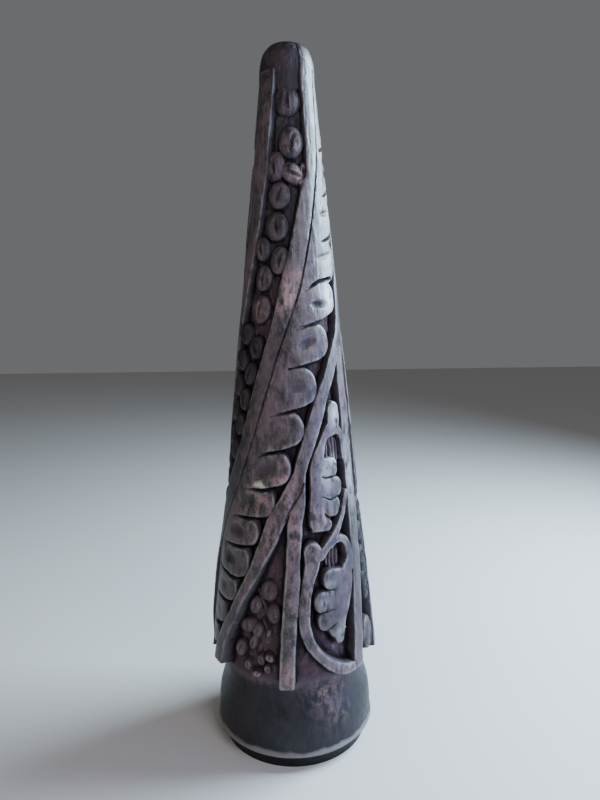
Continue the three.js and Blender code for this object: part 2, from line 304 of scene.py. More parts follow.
strands = {
    "drop": {"broad": 0.0, "crossing": 0.25, "bar": 0.1, "side": 0.4, "left": 0.35},
    # Each row: the middle's angle, height, width across
    "broad": [(47, 449.5, 12), (46, 436, 11.5), (45.5, 420, 11), (43.7, 400, 9.8), (40.7, 380, 8.8),
              (37.2, 370, 8.4), (29.5, 360, 9.6), (24, 350, 10.6), (14.2, 330, 11.2), (3.5, 310, 12.4),
              (-6, 290, 11.2), (-16.7, 270, 9.8), (-26.5, 250, 10.4), (-35.5, 230, 9.8),
              (-43.8, 210, 10.4), (-54, 190, 11.2), (-65.5, 170, 12), (-78, 150, 11.6), (-86, 130, 11),
              (-91, 110, 11), (-94.5, 90, 10.6), (-97, 70, 10.4), (-98, 56, 10.4)],
    "crossing": [(136, 430, 6), (128, 410, 8), (113, 375, 8), (99, 345, 8), (84, 315, 8.2),
                 (75.5, 298, 8), (72, 288, 7.8), (66.5, 278, 7.8), (54.2, 264, 7.8), (47.2, 256, 8.2),
                 (38.6, 245.5, 8), (34, 240, 8.2), (21.8, 220, 9.2), (11, 200, 8.2), (6.3, 190, 7.8),
                 (0, 180, 9), (-6.6, 170, 10.4), (-13.2, 160, 11.4), (-18.6, 149, 11), (-24.2, 138, 9.4),
                 (-29.4, 128, 7.8), (-35.2, 118, 7.4), (-41.2, 107.5, 7.2), (-47.2, 96, 7.4),
                 (-53, 86, 8.4), (-57.4, 76, 9.8), (-59.6, 67, 10.8), (-60, 60, 10.8)],
    "bar": [(10.5, 192, 1.5), (7.8, 180, 5), (5, 170, 8), (2, 160, 9.6), (1.2, 150, 9.6), (0.2, 140, 9.1),
            (-0.3, 130, 9.4), (-1, 120, 9.6), (-2, 110, 9.7), (-2.8, 100, 9.7), (-4.2, 80, 9.9),
            (-5, 58, 9.9)],
    "side": [(84, 306, 4), (76, 290, 7), (68, 272, 9.4), (63, 256, 10), (61.8, 240, 10), (62, 222, 11.4),
             (60.2, 204, 11.2), (59.3, 180, 11), (59, 160, 11.2), (58.3, 148, 11.2), (57.3, 130, 10.4),
             (55.6, 115, 10), (53.3, 100, 9.8), (51, 80, 9.6), (49.3, 67, 9.4), (48.5, 58, 9.2)],
    "left": [(-45, 449.5, 11), (-44, 436, 11), (-43, 420, 11), (-44, 400, 11), (-46, 380, 11),
             (-50, 360, 11), (-55, 340, 10.6), (-62.5, 320, 10.4), (-69, 300, 10.2), (-77, 280, 10),
             (-84.5, 260, 9.6), (-89, 245, 9.3), (-92, 230, 9.1), (-94, 215, 8.8), (-97, 200, 8.2),
             (-101, 185, 7), (-104, 172, 5)],
    "shoulder": {"depth": 4, "span": (431, 435)},  # the left strand steps back at the crown
    "proud": {"rise": 1.6, "span": (350, 410)},  # it stands out more and more up to that step
    # Two strands stand out more and more between these heights, down to the skirt
    "flare": {"names": ("broad", "crossing"), "rise": 2.0, "span": (110, 150)},
    # Where each strand stops above the foot
    "skirtEnds": {"crossing": 61.5, "bar": 57.4, "side": 60.5, "broad": 60},
    "line": {"width": 1.5, "depth": 1.3},  # incised along the strand's edge
    # Where the bar leaves the crossing strand
    "seam": [(9.4, 184), (7.5, 179.6), (3.8, 174.3), (0.5, 170.9), (-2.5, 166.7), (-5.5, 161.2)],
    "shade": {"amount": 0.3, "span": (262, 292)},  # painted shade: the broad strand is darker below these heights
}


def strandEdge(name, where):
    # A band with rounded ends. Some strands end at the skirt and the others at their lowest row.
    rows = [row[1] for row in strands[name]]
    z = heights[where]
    beyond = np.maximum(strands["skirtEnds"].get(name, min(rows)) - z, z - max(rows))
    return endEdge(bandEdge(strands[name], where), beyond, carving["corner"])


def raiseStrands(relief):
    shoulder, proud, shade = strands["shoulder"], strands["proud"], strands["shade"]
    for name in ("left", "side", "crossing", "bar", "broad"):
        rows = [row[1] for row in strands[name]]
        lowest = carving["skirt"] if name in strands["skirtEnds"] else min(rows) - 6
        where = patch(-180, 180, lowest, max(rows) + 4)
        z = heights[where]
        edge = strandEdge(name, where)
        drop = strands["drop"][name] + crowned(edge, 0.25, 4)
        if name == "left":
            step = shoulder["depth"] * smoothStep(*shoulder["span"], z)
            drop = drop + step - proud["rise"] * smoothStep(*proud["span"], z)
        raisePiece(relief, where, edge, drop)
        if name == "broad":
            # Painted shade on the broad strand below that span
            paint["dark"][where] = shade["amount"] * (edge < 0) * (1 - smoothStep(*shade["span"], z))
    cutLine(relief, strands["seam"], strands["line"]["width"], strands["line"]["depth"])
    print("strands raised")


def flareStrands(relief):
    # Lifts the lower ends of two strands, on the front only.
    flare = strands["flare"]
    for name in flare["names"]:
        where = patch(-180, 180, carving["skirt"], flare["span"][1])
        edge = strandEdge(name, where)
        lift = flare["rise"] * (1 - smoothStep(*flare["span"], heights[where]))
        raisePiece(relief, where, edge, strands["drop"][name] + crowned(edge, 0.25, 4) - lift)
    print("lower ends flared")


longLeaf = {
    "drop": 0.35,
    "reach": (0.95, 1.35),  # a lobe's rounded end above and below its middle, as shares of half its height
    "power": 2.3,  # of the superellipse at that end
    "ends": {"rib": 59.5, "lobes": 61},  # how low they reach
    "fullPit": 1.7,  # a scoop this deep gets the darkest painted shade
    # Each lobe: root angle and height, tip angle and height, half height
    "lobes": [(50, 360, 101, 375, 12.4), (42, 336, 90, 350, 12.6), (32, 313, 75.5, 324, 12.4),
              (14, 289, 62.5, 298.5, 11.6), (2, 266, 43.5, 270.5, 11.8), (-8, 239, 25.5, 243.5, 12.8),
              (-24, 213, 11, 218, 11.8), (-36, 190, -1, 193.3, 11), (-46, 170.5, -14, 172, 10.4),
              (-58, 150.5, -27.5, 151.5, 9.7), (-64, 131.5, -34.6, 131, 10.4),
              (-72, 112, -45.5, 112, 9.2), (-76, 93.5, -56, 95, 8.8), (-80, 76, -67, 78, 9)],
    # Each cut between two lobes: inner end, outer end
    "cuts": [((60, 386), (98, 391)), ((58, 358), (92, 365)), ((46, 330), (82, 337)),
             ((17, 300), (36, 306), (58, 308.5)), ((6, 277), (38, 282), (58, 287)),
             ((6, 254), (30, 257), (40, 260)), ((-20, 224.5), (10, 229), (22, 232)),
             ((-31, 199.5), (-20, 202), (-8, 203.5), (8, 207)), ((-43, 178.6), (-25, 179), (-6, 182)),
             ((-55, 160), (-36, 160.5), (-18, 162)), ((-66, 140), (-45, 141), (-30, 143.5)),
             ((-76, 122.5), (-54, 120), (-40, 120)), ((-78, 102.3), (-58, 102.6), (-47, 104)),
             ((-82, 80.5), (-63, 84.5), (-56, 87))],
    "cut": {"width": 2.3, "depth": 3.4, "innerShare": 0.35},
    # Each scoop: angle, height, half length, half width, depth, tilt
    "scoops": [(84, 374, 6, 2.4, 1.2, 18), (60, 348, 6.5, 1.9, 1.7, 15), (50, 321.5, 9, 2.2, 1.2, 16),
               (35.3, 292.3, 7, 2.8, 3.0, 6), (17, 268.5, 7, 3.6, 1.7, 22), (5, 241.5, 6, 3.2, 1.2, 12),
               (-14, 214, 10, 5, 0.7, 8), (-23, 191, 9, 5.4, 1.7, 6), (-37, 171, 8.4, 5.2, 1.5, 2),
               (-49, 151, 8.4, 4.8, 2.1, -4), (-56, 132.5, 8, 4.6, 1.4, 0), (-62, 112.5, 7, 4, 0.7, 0),
               (-69, 94.5, 6, 4, 0.5, 0), (-76, 77, 5, 4, 0.4, 0)],
    # The incised line between strand and leaf
    "line": [(66, 434), (62.5, 420), (60, 410), (57.3, 400), (51.5, 380), (46.5, 370), (41, 360),
             (31, 340), (21, 320), (11, 300), (-2, 280), (-14, 260), (-23, 240), (-32, 220), (-41, 200),
             (-51, 180), (-64, 160), (-75, 142), (-81, 125), (-86, 108), (-89.5, 90), (-92, 70),
             (-93, 60)],
    "rib": [(82, 444, 14), (82, 420, 14.4), (80, 405, 15), (70, 393, 15), (58, 383, 13), (50, 372, 12),
            (45, 362, 12), (34, 340, 12), (24, 320, 12), (14, 300, 13), (2, 280, 13), (-10, 260, 13),
            (-20, 240, 13), (-29, 220, 13), (-37, 200, 14), (-47, 180, 14), (-60, 160, 14),
            (-69, 142, 13.4), (-76, 125, 12.8), (-81, 108, 12.2), (-85, 90, 11.4), (-88, 70, 10.6),
            (-89, 56, 10)],
}


def lobeEdge(root, tip, half, reach, where, inward=4):
    # A petal from root to tip. Its end is a superellipse, longer below the middle than above it.
    scale = np.radians(outerRadius(min((root[1] + tip[1]) / 2, block["crown"])))
    dx, dz = (tip[0] - root[0]) * scale, tip[1] - root[1]
    length = np.hypot(dx, dz)
    x = (angles[where] - root[0]) * perDegree[where]
    y = heights[where] - root[1]
    along = (x * dx + y * dz) / length
    aside = (y * abs(dx) - x * dz * np.sign(dx)) / length
    end = half * np.where(aside > 0, *reach)
    u = np.clip((along - length + end) / end, 0, None)
    power = longLeaf["power"]
    edge = ((u**power + np.abs(aside / half) ** power) ** (1 / power) - 1) * half
    return np.maximum(edge, -along - inward)


def scoopOut(relief, scoops):
    # Shallow oval hollows, turned by their tilt: the depth times a power of one less the squared distance
    # from the middle, counted in half lengths and half widths.
    for angle, z, halfLength, halfWidth, depth, tilt in scoops:
        where = around([(angle, z)], halfLength + 3)
        x = (angles[where] - angle) * perDegree[where]
        y = heights[where] - z
        c, s = cos(radians(tilt)), sin(radians(tilt))
        far = ((x * c + y * s) / halfLength) ** 2 + ((y * c - x * s) / halfWidth) ** 2
        far = far * (1 + 0.5 * wobble[where])
        relief[where] += depth * np.clip(1 - far, 0, 1) ** 1.2
        # The scoop's painted shade, darker for deeper scoops
        darkness = min(1, depth / longLeaf["fullPit"]) * np.clip(1.15 - far, 0, 1)
        paint["pit"][where] = np.maximum(paint["pit"][where], darkness)


def cutLine(relief, points, width, depth, innerShare=0.0):
    # A groove along a line. Its inner end is shallow and narrow, in proportion to the way along it.
    where = around(points, width + 2)
    distance, along = lineDistance(points, where)
    taper = np.clip(along / max(innerShare, 1e-3), 0.15, 1) if innerShare else np.ones_like(along)
    relief[where] += groove(depth * taper, width * (0.5 + 0.5 * taper), distance + 0.5 * wobble[where])


def raiseLongLeaf(relief):
    drop = longLeaf["drop"]
    leaf = uncarved()
    where = patch(-180, 180, carving["skirt"], block["height"] + 1)
    ends = longLeaf["ends"]
    edge = endEdge(bandEdge(longLeaf["rib"], where), ends["rib"] - heights[where], carving["corner"])
    raisePiece(leaf, where, edge, drop)
    for rootAngle, rootZ, tipAngle, tipZ, half in longLeaf["lobes"]:
        where = around([(rootAngle, rootZ), (tipAngle, tipZ)], half + 6)
        edge = lobeEdge((rootAngle, rootZ), (tipAngle, tipZ), half, longLeaf["reach"], where, 9)
        edge = np.maximum(edge, ends["lobes"] - heights[where])
        raisePiece(leaf, where, edge, drop + crowned(edge, 0.5, 3))
    scoopOut(leaf, longLeaf["scoops"])
    cut = longLeaf["cut"]
    for points in longLeaf["cuts"]:
        cutLine(leaf, points, cut["width"], cut["depth"], cut["innerShare"])
    np.minimum(relief, leaf, out=relief)
    print("long leaf raised")


loops = {
    # Routes list angle, height and width. Lobes list root, tip and half height. Cuts run from the inside
    # out. A floor lists angle, height, half width, half height and drop.
    "upper": {
        "drop": 0.6,
        "stem": [(43.4, 227.6, 9.6), (43.4, 221, 10.6), (41, 216.6, 10.4), (36, 214.2, 8),
                 (31.6, 211.6, 5.4), (28, 207.4, 4.8), (25, 201.5, 7), (21.6, 194, 8.6),
                 (20.4, 187, 8.2)],
        "hook": [(43, 215.4, 7), (49, 213.2, 6), (52, 209.6, 5.4), (53, 204, 5), (53, 197, 4.6)],
        "rib": [(20.4, 188, 8.2), (20, 177, 8), (19.6, 169, 9), (20, 163, 10.6), (20.2, 159, 11.4)],
        "lobes": [(23, 191.6, 43.5, 191.2, 6.4), (23, 180.4, 47, 178.2, 6.6), (23, 169.4, 43, 166.4, 6.8),
                  (20, 157.6, 33.4, 157.2, 4.8)],
        "cuts": [((22, 188.2), (30, 185.4), (43, 186)), ((21.5, 175.4), (33, 171.6), (44, 173)),
                 ((19.5, 168.4), (27.2, 163.2), (36, 156.8))],
        "floor": (41, 201.5, 7.8, 9.2, 3.4),
    },
    "lower": {
        "drop": 0.45,
        "twig": [(51, 174.5, 3.6), (48.4, 169, 3.8), (44.6, 162, 4), (39.6, 155, 4.2), (34, 149, 4.6),
                 (28, 144, 5), (21, 138, 6)],
        "loop": [(15, 141.4, 11.8), (14.2, 134, 10), (11.4, 125, 8), (9, 116, 7.2), (7.6, 106, 7.4),
                 (7.6, 96, 7.6), (10.4, 86, 7.2), (15.4, 78.5, 6.8), (21.8, 72, 6.8), (29, 66.8, 7),
                 (37, 63.6, 6.8), (45.5, 63, 5.4)],
        "curl": [(30, 143.6, 4.2), (35, 146, 4.4), (40.6, 146.3, 4.6), (46, 143, 5.2), (48.6, 136, 6.6),
                 (48, 127.5, 8)],
        "body": [(46.6, 130, 6.5), (43.4, 123, 12), (40, 115, 14.6), (37.4, 108, 14.2), (35.4, 101, 12),
                 (34, 95, 9.6), (33.2, 89, 7.8), (32.6, 84.7, 6.6)],
        "lobes": [(38, 121.5, 22.5, 123, 6.6), (36, 108.5, 14.8, 109, 7), (34, 98, 16.8, 96.8, 6.4),
                  (33, 92, 26, 88, 5.2)],
        "cuts": [((34, 115.5), (27, 115.3), (18, 116.5)), ((34, 104), (24, 103), (13, 102)),
                 ((32, 95.5), (27.5, 93), (20, 90.5))],
        "floor": (33, 134.5, 6.2, 7.4, 4.2),
    },
    "marks": {"spacing": 3.1, "waver": 2.2, "depth": 1.5},  # in the hollows' floors
    "cut": {"upper": (1.3, 1.8), "lower": (1.2, 1.5), "innerShare": 0.5},  # width and depth
}


def raiseRoute(relief, knots, drop):
    # A band of changing width: the distance to its route less half the width at the nearest point.
    route = smoothRoute(knots)
    where = around(route[:, :2], 10)
    distance, along = lineDistance(route[:, :2], where)
    width = np.interp(along, np.linspace(0, 1, len(route)), route[:, 2])
    edge = distance - width / 2
    raisePiece(relief, where, edge, drop + crowned(edge, 0.2, 3))


def raiseLobes(relief, lobes, drop, dome=0.8):
    # Petals with rounded faces, each from its root to its tip.
    for rootAngle, rootZ, tipAngle, tipZ, half in lobes:
        where = around([(rootAngle, rootZ), (tipAngle, tipZ)], half + 6)
        edge = lobeEdge((rootAngle, rootZ), (tipAngle, tipZ), half, (0.9, 0.9), where)
        raisePiece(relief, where, edge, drop + crowned(edge, dome, half, 3))


def raiseFloor(relief, angle, z, halfWidth, halfHeight, drop):
    # The shallow oval floor of a loop's hollow, left in upright gouge marks that follow a sine.
    marks = loops["marks"]
    where = around([(angle, z)], max(halfWidth, halfHeight) + 3)
    x = (angles[where] - angle) * perDegree[where]
    y = heights[where] - z
    edge = (np.hypot(x / halfWidth, y / halfHeight) - 1) * min(halfWidth, halfHeight)
    ridges = np.abs(np.sin(np.pi * (x + marks["waver"] * wobble[where]) / marks["spacing"]))
    raisePiece(relief, where, edge, drop + marks["depth"] * (1 - ridges) ** 1.5 + 0.6 * gouges[where])


def cutLeaf(relief, leaf, name):
    # Cuts the lines of a small leaf, then joins it to the relief.
    for points in loops[name]["cuts"]:
        cutLine(leaf, points, *loops["cut"][name], loops["cut"]["innerShare"])
    np.minimum(relief, leaf, out=relief)


def raiseLoops(relief):
    upper, lower = loops["upper"], loops["lower"]
    raiseFloor(relief, *upper["floor"])
    raiseFloor(relief, *lower["floor"])
    for name in ("stem", "hook", "rib"):
        raiseRoute(relief, upper[name], upper["drop"])
    leaf = uncarved()
    raiseLobes(leaf, upper["lobes"], upper["drop"] + 0.2)
    cutLeaf(relief, leaf, "upper")
    for name in ("twig", "loop", "curl"):
        raiseRoute(relief, lower[name], lower["drop"])
    leaf = uncarved()
    raiseRoute(leaf, lower["body"], lower["drop"] + 0.2)
    raiseLobes(leaf, lower["lobes"], lower["drop"] + 0.3)
    cutLeaf(relief, leaf, "lower")
    print("loops raised")


berries = {
    "drop": 0.7,
    "dome": 2.4,  # how much lower a berry's rim lies than its middle
    "groove": {"width": 2.6, "depth": 2.0, "length": 0.62},
    # Each large berry: angle, height, half width, half height, lean
    "large": [(0, 413.5, 10.6, 9, 4), (6.5, 389, 9.4, 9.8, -16), (8, 370.5, 6.4, 9.4, 66),
              (-24, 375, 8, 9.4, 6), (-15, 357.5, 8.6, 8.4, -20), (-18, 339, 8.6, 9, 8),
              (-12.5, 318.7, 7, 8.8, -12), (-35, 308, 6.6, 8, -8), (-37.5, 289.5, 7.8, 8.8, -4),
              (-40, 326, 6.4, 7.6, 14), (23, 371, 2.6, 7, -14)],
    # The long field lower down: its middle, then berries in two rows that close up to one
    "fieldMiddle": [(-50, 274), (-58, 252), (-66, 230), (-75, 205), (-84, 187), (-91, 170), (-97, 152),
                    (-101, 135), (-104, 115), (-105.5, 98)],
    "smallHalf": (6.2, 7.2),  # half width and half height
    "smallDrop": 0.6,
    "smallLean": 30,  # at most, either way
    # how much painted shade the small berries take, from 0 to 1
    "smallDark": 0.85,
    "step": 8.2,  # down from one to the next
    "spread": 6.8,  # of each row from the field's middle
    "closing": (100, 170),  # the rows close up between these heights
    "lowest": (-109.5, 74, 9.4, 11, -12),
}
blossoms = {
    "drop": 3.9,
    "grooved": 0.45,  # how deep a petal's groove is beside a berry's
    # Each petal: angle, height, half width, half height, lean
    "petals": [(-20, 115.5, 7, 6.6, 4), (-31.3, 105.1, 5.2, 6.2, -16), (-15.4, 101.2, 5.6, 6.4, 8),
               (-43.6, 74.8, 5, 6.4, -28), (-31.5, 81.4, 3.8, 5.2, -18), (-18, 73.6, 4.2, 3, -12),
               (-27.4, 62.4, 4.6, 2.4, 6), (-19.4, 66.4, 3.4, 3, -40), (-35.2, 66.2, 3.4, 3.8, 20),
               (-37.6, 91, 8.4, 5, 12), (-28.4, 89.6, 4.6, 5, -30), (-18.8, 89.4, 2, 3, -20),
               (-24.6, 71.6, 3.2, 4, 24)],
    "stalks": [((-29, 116), (-26, 110.4), (-22.4, 105), (-20.6, 101)), ((-24, 97), (-20.4, 91)),
               ((-31, 76), (-25, 69))],
    "stalkWidth": 1.2,
    "stalkDrop": 5.4,
}


def raiseBerry(relief, angle, z, halfWidth, halfHeight, lean, drop, grooved=1.0, dark=0.35):
    # A domed oval with a groove down its middle: the dome falls with the cube of the distance from the
    # middle, and the groove is a parabola both across and along.
    cut = berries["groove"]
    where = around([(angle, z)], max(halfWidth, halfHeight) + 4)
    x = (angles[where] - angle) * perDegree[where]
    y = heights[where] - z
    c, s = cos(radians(lean)), sin(radians(lean))
    u, v = (x * c + y * s) / halfWidth, (y * c - x * s) / halfHeight
    far = np.hypot(u, v)
    edge = (far - 1) * min(halfWidth, halfHeight)
    length = np.clip(1 - (v / cut["length"]) ** 2, 0, 1)
    slot = grooved * length * groove(cut["depth"], cut["width"], u * halfWidth)
    raisePiece(relief, where, edge, drop + berries["dome"] * np.clip(far, 0, 1) ** 3 + slot)
    # Painted shade: the berry is marked darker by the given amount
    paint["dark"][where] = np.maximum(paint["dark"][where], dark * (edge < 0.6))


def raiseBerries(relief):
    for angle, z, halfWidth, halfHeight, lean in berries["large"]:
        raiseBerry(relief, angle, z, halfWidth, halfHeight, lean, berries["drop"])
    top = berries["fieldMiddle"][0][1]
    bottom = berries["fieldMiddle"][-1][1]
    narrow, wide = berries["closing"]
    for i, z in enumerate(np.arange(top, bottom, -berries["step"])):
        middle = smoothCurve([(row[1], row[0]) for row in berries["fieldMiddle"]], z)[0]
        side = 1 if i % 2 else -1
        spread = side * berries["spread"] * np.clip((z - narrow) / (wide - narrow), 0, 1)
        angle = middle + spread / np.radians(outerRadius(z))
        lean = dice.uniform(-berries["smallLean"], berries["smallLean"])
        raiseBerry(relief, angle, z, *berries["smallHalf"], lean, berries["smallDrop"],
                   dark=berries["smallDark"])
    raiseBerry(relief, *berries["lowest"], berries["drop"])
    print("berries raised")


def raiseBlossoms(relief):
    for angle, z, halfWidth, halfHeight, lean in blossoms["petals"]:
        raiseBerry(relief, angle, z, halfWidth, halfHeight, lean, blossoms["drop"], blossoms["grooved"], 0)
    for points in blossoms["stalks"]:
        raiseRoute(relief, [(*point, blossoms["stalkWidth"]) for point in points], blossoms["stalkDrop"])
    print("blossoms raised")


def bodyRadius():
    # The turned foot below, the ground with its gouge marks above, and the smooth crown, whichever stands
    # out furthest. The crown's drop shrinks with height as a power, and its lower end falls away softly.
    foot = smoothCurve([(z, r) for r, z in block["foot"]], heights)[..., 0]
    marks = gouges * np.clip((heights - block["gougesStart"]) / 12, 0, 1)
    ground = outer - groundDepth(heights) - marks
    start = block["tongueStart"]
    rise = np.clip((heights - start) / (block["height"] - start), 0, 1)
    lip = softRamp(start - heights, block["lipSlope"], 0.3)
    tongue = outer - block["tongueDrop"] * (1 - rise) ** block["tongueCurve"] - lip - 0.5 * facets
    neckLow, neckHigh = block["neckBlend"]
    blend = np.clip((heights - neckLow) / (neckHigh - neckLow), 0, 1)
    trunk = foot * (1 - blend) + ground * blend
    return np.maximum(trunk, tongue)


def carve():
    # The radius at each point: the trunk, or the outer surface less the relief where that stands out more.
    relief = uncarved()
    raiseStrands(relief)
    raiseLongLeaf(relief)
    line = longLeaf["line"]
    cutLine(relief, line, strands["line"]["width"], strands["line"]["depth"])
    raiseLoops(relief)
    raiseBerries(relief)
    relief = np.minimum(relief, np.roll(relief, grid["columns"] // 2, axis=1))  # carved again on the back
    for name, field in paint.items():
        paint[name] = np.maximum(field, np.roll(field, grid["columns"] // 2, axis=1))
    raiseBlossoms(relief)
    flareStrands(relief)
    radius = np.maximum(bodyRadius(), outer - relief)
    a = np.radians(angles)
    # Kept inside the block: half its width over the sine of the angle, and half its depth over the cosine
    halfWidth, halfDepth = (blockHigh[k] / mm - block["inset"] for k in (0, 1))
    sides = halfWidth / np.maximum(np.abs(np.sin(a)), 0.1)
    faces = halfDepth / np.maximum(np.abs(np.cos(a)), 0.1)
    return np.minimum(radius, np.minimum(sides, faces))


surface = carve()
print("surface worked out")


def blurred(field, reach):
    # Gaussian blur of the height field, in grid steps, through its Fourier transform. The rows at either
    # end are repeated first, so that the crown and the foot don't mix.
    margin = int(4 * reach)
    padded = np.pad(field, ((margin, margin), (0, 0)), mode="edge")
    fy = np.fft.fftfreq(padded.shape[0])[:, None]
    fx = np.fft.rfftfreq(padded.shape[1])[None, :]
    softer = np.fft.rfft2(padded) * np.exp(-2 * (np.pi * reach) ** 2 * (fx**2 + fy**2))
    return np.fft.irfft2(softer, s=padded.shape)[margin:-margin]


def surfaceMesh():
    # Each point lies at its radius times the sine and the cosine of its angle, and at its height. Quads
    # close round the trunk, and fans of triangles close the foot and the crown.
    rows, columns = surface.shape
    a = np.radians(angles)
    points = np.stack([surface * np.sin(a), -surface * np.cos(a), heights], -1).reshape(-1, 3)
    poles = np.array([[0, 0, 0], [0, 0, block["height"]]])
    points = np.concatenate([points, poles]) * mm
    index = np.arange(rows * columns).reshape(rows, columns)
    after = np.roll(index, -1, axis=1)
    quads = np.stack([index[:-1], after[:-1], after[1:], index[1:]], -1).reshape(-1, 4)
    floorPole, topPole = rows * columns, rows * columns + 1
    under = np.stack([after[0], index[0], np.full(columns, floorPole)], -1)
    over = np.stack([index[-1], after[-1], np.full(columns, topPole)], -1)
    fans = np.concatenate([under, over])
    mesh = bpy.data.meshes.new("carvedTree")
    mesh.vertices.add(len(points))
    mesh.vertices.foreach_set("co", points.astype(np.float32).ravel())
    corners = np.concatenate([quads.ravel(), fans.ravel()])
    starts = np.concatenate([np.arange(len(quads)) * 4, len(quads) * 4 + np.arange(len(fans)) * 3])
    mesh.loops.add(len(corners))
    mesh.loops.foreach_set("vertex_index", corners.astype(np.int32))
    mesh.polygons.add(len(starts))
    mesh.polygons.foreach_set("loop_start", starts.astype(np.int32))
    mesh.update(calc_edges=True)
    return mesh


def thinned(mesh, target):
    # Collapses the flat stretches until the mesh has about the target number of triangles.
    rough = bpy.data.objects.new("roughTree", mesh)
    bpy.context.collection.objects.link(rough)
    thin = rough.modifiers.new("thin", "DECIMATE")
    thin.ratio = target / (2 * len(mesh.polygons))
    ready = rough.evaluated_get(bpy.context.evaluated_depsgraph_get())
    result = bpy.data.meshes.new_from_object(ready)
    bpy.data.objects.remove(rough)
    bpy.data.meshes.remove(mesh)
    return result


treeMesh = thinned(surfaceMesh(), grid["triangles"])
print(f"mesh thinned to {len(treeMesh.polygons)} faces")
carvedTree = bpy.data.objects.new("carvedTree", treeMesh)
bpy.context.collection.objects.link(carvedTree)
treeMesh.polygons.foreach_set("use_smooth", np.ones(len(treeMesh.polygons), bool))
treeMesh.set_sharp_from_angle(angle=radians(42))

wearAndPaintedLight = {
    # Soft patches rubbed pale by hands: angle, height, half width and half height in millimetres, strength
    "rubbed": [(-3, 298, 6, 11, 1.0), (8, 306, 5, 8, 0.6), (-4, 172, 6, 10, 0.55), (1, 155, 4, 14, 0.5),
               (-1, 120, 5, 30, 0.16), (-8, 186, 10, 3.4, 0.6), (-30, 172, 8, 8, 0.6),
               (-24, 78, 14, 10, 0.18), (-4, 197, 5, 4, 0.4), (3, 226, 4, 2.4, 0.5),
               (-32, 160, 7, 6, 0.3), (-27, 152, 3, 8, 0.4), (-36, 290, 6, 7, 0.3), (10, 385, 6, 9, 0.4),
               (12, 370, 6, 6, 0.45), (11, 112, 5, 22, 0.25), (31, 66, 11, 4, 0.4), (-3, 66, 5, 8, 0.4),
               (24, 46, 15, 7, 0.34), (30, 34, 12, 9, 0.2), (-47, 76, 3, 6, 0.5), (-18, 74, 5, 4, 0.7),
               (-27, 62, 5, 3, 0.6), (24, 160, 8, 9, 0.5), (18, 133, 6, 12, 0.25), (-18, 152, 6, 12, 0.3),
               (40, 298, 5, 6, 0.5)],
    # Painted highlights: bright patches that stand for the shine of light on these faces
    "paintedHighlight": [(49.5, 297, 6.4, 8.4, 1.0), (59, 318, 5, 9, 0.4), (72, 345, 5, 12, 0.3),
               (44, 224, 4, 8, 0.5), (41, 196, 5, 3, 0.9), (26, 118, 4, 4, 0.3), (58, 186, 4, 22, 0.35),
               (22, 108, 4, 4, 0.25), (33, 88, 4, 4, 0.25), (30, 188, 4, 12, 0.35)],
    # Painted shade: patches darker than the rest, on sides that lie in shade
    "shaded": [(-64, 100, 17, 40, 0.42), (30, 104, 13, 24, 0.44), (54, 105, 9, 44, 0.46)],
    "patch": (-28.2, 182.6, 3.7, 1.8),  # a small pale fleck: angle, height, half width, half height
}
reading = {
    # How the surface is read for the wood's colours. Blurs are in grid steps, heights and depths in
    # millimetres.
    "steep": (0.9, 2.6),  # slopes where a wall begins and where it is one outright
    "edgeBlur": 3.2,
    "edgeHeight": 0.9,  # an edge that stands this far out is fully worn
    "hollowBlurs": (13, 7),  # a wide one and a narrow one
    "hollowDepths": (8, 1.875),  # how deep under each blur a place is fully hollow
    "footDark": (50, 58),  # heights between which the foot's darker colour ends
    "crownDark": (415, 430),  # heights between which the crown's dark face begins
    "crownDarkEnd": (20, 34),  # angles between which it ends, on the right
    "crownShade": 0.6,  # how dark that face is
    "capDark": (445, 449),  # heights between which the dark cap begins
    "rim": (8.6, 9.8, 10.5, 14.5),  # where the foot's pale rim fades in and out again
}


def patches(rows):
    # Soft spots of the given strengths, the strongest one winning.
    field = np.zeros(angles.shape)
    for angle, z, halfWidth, halfHeight, strength in rows:
        x, y = (angles - angle) * perDegree / halfWidth, (heights - z) / halfHeight
        field = np.maximum(field, strength * np.exp(-(x**2 + y**2)))
    return field


